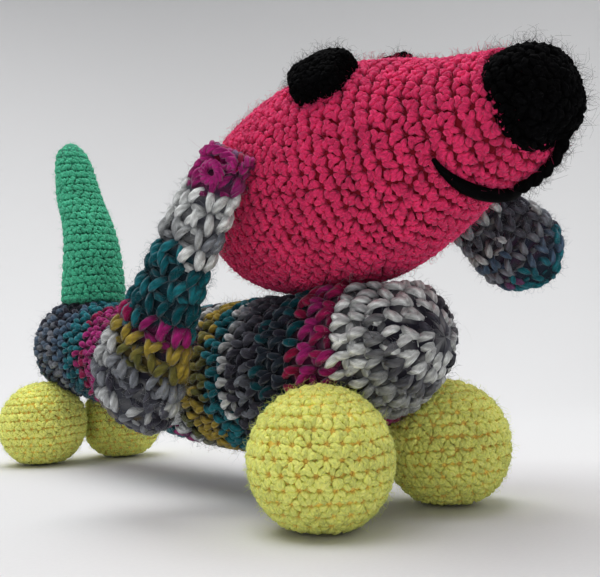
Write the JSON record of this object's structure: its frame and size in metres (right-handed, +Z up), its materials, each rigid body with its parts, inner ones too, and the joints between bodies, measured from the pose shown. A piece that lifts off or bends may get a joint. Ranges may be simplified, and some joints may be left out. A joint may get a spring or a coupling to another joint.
{
  "type": "crochet dachshund toy",
  "caption": "Crocheted stuffed dachshund toy: striped tube body, head and tail sewn on, floppy ears and ball feet; head, ears and tail move.",
  "frame": {"origin": "on the floor, under the middle of the bounding box; the dog's own mid plane is at X = -22.9 mm, because its left ear sticks out further than its right", "axes": "+Z up, +Y towards the tail, so the dog faces -Y and its own left side is +X"},
  "size_m": [0.1706, 0.299, 0.1666],
  "materials": {
    "variegated_yarn": "chunky single crochet in self-striping grey, teal, magenta and ochre yarn",
    "pink_yarn": "fine single crochet, hot pink",
    "green_yarn": "fine single crochet, jade green",
    "lime_yarn": "fine single crochet, fluorescent yellow-green",
    "black_yarn": "fuzzy black yarn",
    "stuffing": "white polyester fibre filling"
  },
  "bodies": {
    "torso": {"body_shell": "variegated_yarn", "body_stuffing": "stuffing", "front_right_foot_shell": "lime_yarn", "front_right_foot_stuffing": "stuffing", "front_right_foot_seam": "lime_yarn", "front_left_foot_shell": "lime_yarn", "front_left_foot_stuffing": "stuffing", "front_left_foot_seam": "lime_yarn", "rear_right_foot_shell": "lime_yarn", "rear_right_foot_stuffing": "stuffing", "rear_right_foot_seam": "lime_yarn", "rear_left_foot_shell": "lime_yarn", "rear_left_foot_stuffing": "stuffing", "rear_left_foot_seam": "lime_yarn"},
    "neck": {"neck_knot": "pink_yarn"},
    "head": {"head_shell": "pink_yarn", "head_stuffing": "stuffing", "right_eye": "black_yarn", "left_eye": "black_yarn", "nose": "black_yarn", "smile_yarn": "black_yarn", "philtrum_yarn": "black_yarn", "right_ear_seam": "variegated_yarn", "left_ear_seam": "variegated_yarn"},
    "right_ear": {"right_ear": "variegated_yarn", "right_ear_stuffing": "stuffing"},
    "left_ear": {"left_ear": "variegated_yarn", "left_ear_stuffing": "stuffing"},
    "tail_root": {"tail_knot": "green_yarn"},
    "tail": {"tail_shell": "green_yarn", "tail_stuffing": "stuffing"}
  },
  "joints": [
    {"name": "head_turn", "type": "hinge", "parent": "torso", "child": "neck", "pos_m": [-0.0255, -0.0684, 0.0706], "axis": [0, 0, 1], "range_deg": [-8, 8], "stiffness_Nm_per_rad": 0.5},
    {"name": "head_nod", "type": "hinge", "parent": "neck", "child": "head", "pos_m": [-0.0255, -0.0684, 0.0706], "axis": [1, 0, 0], "range_deg": [-2, 10], "stiffness_Nm_per_rad": 1},
    {"name": "right_ear_flap", "type": "hinge", "parent": "head", "child": "right_ear", "pos_m": [-0.0625, -0.06, 0.1065], "axis": [-0.3162, 0.822, 0.4736], "range_deg": [0, 70], "stiffness_Nm_per_rad": 0.03},
    {"name": "left_ear_flap", "type": "hinge", "parent": "head", "child": "left_ear", "pos_m": [0.0063, -0.06, 0.1238], "axis": [0.2437, -0.6912, 0.6803], "range_deg": [-20, 25], "stiffness_Nm_per_rad": 0.2},
    {"name": "tail_wag", "type": "hinge", "parent": "torso", "child": "tail_root", "pos_m": [-0.0229, 0.1136, 0.0812], "axis": [0, 1, 0], "range_deg": [-12, 12], "stiffness_Nm_per_rad": 0.3},
    {"name": "tail_lift", "type": "hinge", "parent": "tail_root", "child": "tail", "pos_m": [-0.0229, 0.1136, 0.0812], "axis": [1, 0, 0], "range_deg": [-12, 12], "stiffness_Nm_per_rad": 0.3}
  ]
}
